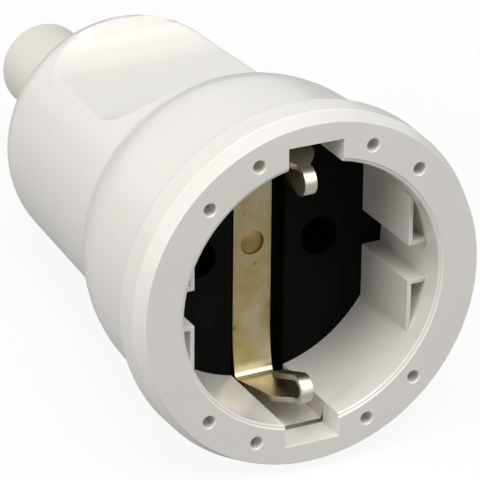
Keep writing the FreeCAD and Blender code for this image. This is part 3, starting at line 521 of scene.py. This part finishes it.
# Rings are added along the taper, 0.25 mm apart, so that the scoops can be pressed into it.
for depth in [taper_start + 0.25 * step for step in range(1, 131)]:
    bmesh.ops.bisect_plane(grip, geom=grip.verts[:] + grip.edges[:] + grip.faces[:],
                           plane_co=(0, depth, 0), plane_no=(0, 1, 0))
# Each scoop is a flat floor between two curved ends, and the inside is flattened too, to keep the wall.
# The blend is how softly an edge of the scoop is rounded.
scoop_floor = 13.5
front_curve = 9.3
floor_start = 40.7
floor_end = 55.2
rear_curve = 7.0
inside_floor = 11.3
for vert in grip.verts:
    radius = math.hypot(vert.co.x, vert.co.z)
    depth = vert.co.y
    outside = radius > grip_inside + 0.1 or depth > taper_end + 0.2
    blend = 0.28
    if not outside:
        limit = inside_floor
        blend = 0.05
    elif floor_start - front_curve < depth < floor_start:
        drop = math.sqrt(front_curve ** 2 - (floor_start - depth) ** 2)
        limit = scoop_floor + front_curve - drop
    elif floor_start <= depth <= floor_end:
        limit = scoop_floor
    elif floor_end < depth < floor_end + rear_curve:
        drop = math.sqrt(rear_curve ** 2 - (depth - floor_end) ** 2)
        limit = scoop_floor + rear_curve - drop
    else:
        continue
    height = abs(vert.co.z)
    near = max(blend - abs(height - limit), 0) / blend
    vert.co.z = math.copysign(min(height, limit) - near * near * blend / 4, vert.co.z)
seat(grip, "grip_moulding", white_abs, "grip_shell")

# Cord grommet: the soft white nose that the cord passes through.
# It is moulded in PVC, pushed through the heel from inside and held by its flange.

# Soft white PVC: the white of the shell, but duller. The eye sees a slow waxy mottle about 11 mm across
# (90 to the metre) and a ripple of about 1 mm (900).
soft_pvc = new_material("soft_white_pvc")
tree = soft_pvc.node_tree
where = add_node(tree, "ShaderNodeTexCoord").outputs["Object"]
mottle = add_node(tree, "ShaderNodeTexNoise", inputs={"Vector": where, "Scale": 90, "Detail": 3})
paint = add_node(tree, "ShaderNodeMix", {"data_type": "RGBA"},
                 {0: mottle.outputs["Fac"], 6: linear("#e2ddd3"), 7: linear("#eae6de")})
peel = add_node(tree, "ShaderNodeTexNoise", inputs={"Vector": where, "Scale": 900, "Detail": 2})
ripple = add_node(tree, "ShaderNodeBump",
                  inputs={"Height": peel.outputs["Fac"], "Strength": 0.08, "Distance": 0.0001})
skin = add_node(tree, "ShaderNodeBsdfPrincipled",
                inputs={"Base Color": paint.outputs[2], "Roughness": 0.48, "IOR": 1.53,
                        "Normal": ripple.outputs["Normal"], "Subsurface Weight": 0.08,
                        "Subsurface Radius": (0.0014, 0.0012, 0.001)})
add_node(tree, "ShaderNodeOutputMaterial", inputs={"Surface": skin.outputs["BSDF"]})

cord_bore = 4.1
nose_radius = 6.8
nose_end = 92.8
flange_front = 63.2
flange_back = 65.6
grommet = turned([
    (cord_bore, flange_front),
    (10.2, flange_front),
    (10.2, flange_back),
    (nose_radius, flange_back),
    (nose_radius, 91.2, 1.6, -1),
    (5.2, nose_end),
    (4.6, nose_end),
    (cord_bore, 92.3),
], 128)
seat(grommet, "grommet_moulding", soft_pvc, "cord_grommet")

# Studio: a plain white floor, three soft square lamps and an even pale surround.
# The camera stands where the photograph was taken, to the left of the socket's axis and above it.

# White paper: the camera sees an even white with a faint shadow near the socket and none further off.
# The light that it sends back is that of a grey paper, and mirrors see a part of its white.
floor_paper = new_material("white_paper")
tree = floor_paper.node_tree
light_path = add_node(tree, "ShaderNodeLightPath")
mirrored = add_node(tree, "ShaderNodeMath", {"operation": "MAXIMUM"},
                    {0: light_path.outputs["Is Glossy Ray"], 1: light_path.outputs["Is Transmission Ray"]})
where = add_node(tree, "ShaderNodeTexCoord").outputs["Object"]
reach = add_node(tree, "ShaderNodeVectorMath", {"operation": "LENGTH"}, {0: where})
fade = add_node(tree, "ShaderNodeMapRange",
                inputs={"Value": reach.outputs["Value"], "From Min": 0.12, "From Max": 0.4,
                        "To Min": 0.9, "To Max": 1.0})
seen = add_node(tree, "ShaderNodeMath", {"operation": "MULTIPLY"},
                {0: light_path.outputs["Is Camera Ray"], 1: fade.outputs[0]})
share = add_node(tree, "ShaderNodeMath", {"operation": "MULTIPLY_ADD"},
                 {0: mirrored.outputs[0], 1: 0.3, 2: seen.outputs[0]})
tone = add_node(tree, "ShaderNodeMix", {"data_type": "RGBA"},
                {0: light_path.outputs["Is Camera Ray"], 6: linear("#969594"), 7: linear("#f8f8f8")})
paper = add_node(tree, "ShaderNodeBsdfDiffuse", inputs={"Color": tone.outputs[2]})
glow = add_node(tree, "ShaderNodeEmission", inputs={"Color": (1, 1, 1, 1), "Strength": 1.0})
mixed = add_node(tree, "ShaderNodeMixShader",
                 inputs={0: share.outputs[0], 1: paper.outputs[0], 2: glow.outputs[0]})
add_node(tree, "ShaderNodeOutputMaterial", inputs={"Surface": mixed.outputs[0]})
bm = bmesh.new()
bmesh.ops.create_grid(bm, x_segments=1, y_segments=1, size=6)
mesh = bpy.data.meshes.new("floor")
bm.to_mesh(mesh)
bm.free()
mesh.materials.append(floor_paper)
floor = bpy.data.objects.new("floor", mesh)
bpy.context.scene.collection.objects.link(floor)

# The surround is white to the camera and in mirrors, and lights the socket only faintly.
world = bpy.data.worlds.new("studio")
bpy.context.scene.world = world
world.use_nodes = True
world.node_tree.nodes.clear()
tree = world.node_tree
light_path = add_node(tree, "ShaderNodeLightPath")
mirrored = add_node(tree, "ShaderNodeMath", {"operation": "MAXIMUM"},
                    {0: light_path.outputs["Is Glossy Ray"], 1: light_path.outputs["Is Transmission Ray"]})
seen = add_node(tree, "ShaderNodeMath", {"operation": "MAXIMUM"},
                {0: light_path.outputs["Is Camera Ray"], 1: mirrored.outputs[0]})
strength = add_node(tree, "ShaderNodeMapRange",
                    inputs={"Value": seen.outputs[0], "To Min": 0.12, "To Max": 1.0})
surround = add_node(tree, "ShaderNodeBackground",
                    inputs={"Color": (1, 1, 1, 1), "Strength": strength.outputs[0]})
add_node(tree, "ShaderNodeOutputWorld", inputs={"Surface": surround.outputs[0]})

# Each lamp looks at the origin; its place and width are in metres and its power is in watts.
lamps = (
    ("overhead", (-0.15, -0.3, 1.05), 0.6, 5.5),
    ("left", (-1.0, -0.1, 0.4), 0.6, 6.4),
    ("right", (0.5, -0.66, 0.8), 1.1, 6.1),
)
for name, place, size, watts in lamps:
    lamp = bpy.data.lights.new(name, "AREA")
    lamp.size = size
    lamp.energy = watts
    holder = bpy.data.objects.new(name, lamp)
    holder.location = place
    holder.rotation_euler = (-Vector(place)).to_track_quat("-Z", "Y").to_euler()
    bpy.context.scene.collection.objects.link(holder)

# The camera was fitted to the dimples and the mouth: its angles to the socket's axis, the place in the
# plane of the face that it looks at and its distance from there in millimetres.
azimuth = math.radians(-26.66)
elevation = math.radians(24.95)
roll = math.radians(0.504)
looked_at = Vector((-11.41, 0, 10.64))
distance = 494.44
level = math.cos(elevation)
away = Vector((math.sin(azimuth) * level, -math.cos(azimuth) * level, math.sin(elevation)))
side = (-away).cross(Vector((0, 0, 1))).normalized()
upright = side.cross(-away)
right = side * math.cos(roll) + upright * math.sin(roll)
over = upright * math.cos(roll) - side * math.sin(roll)
stand = looked_at + away * distance
lens = bpy.data.cameras.new("camera")
lens.sensor_width = 36
lens.lens = 278.0
lens.clip_start = 0.01
lens.clip_end = 20
camera = bpy.data.objects.new("camera", lens)
turn = Matrix((right, over, away)).transposed().to_4x4()
camera.matrix_world = Matrix.Translation(lying @ stand) @ leaning @ turn
bpy.context.scene.collection.objects.link(camera)
bpy.context.scene.camera = camera
bpy.context.scene.view_settings.view_transform = "Standard"
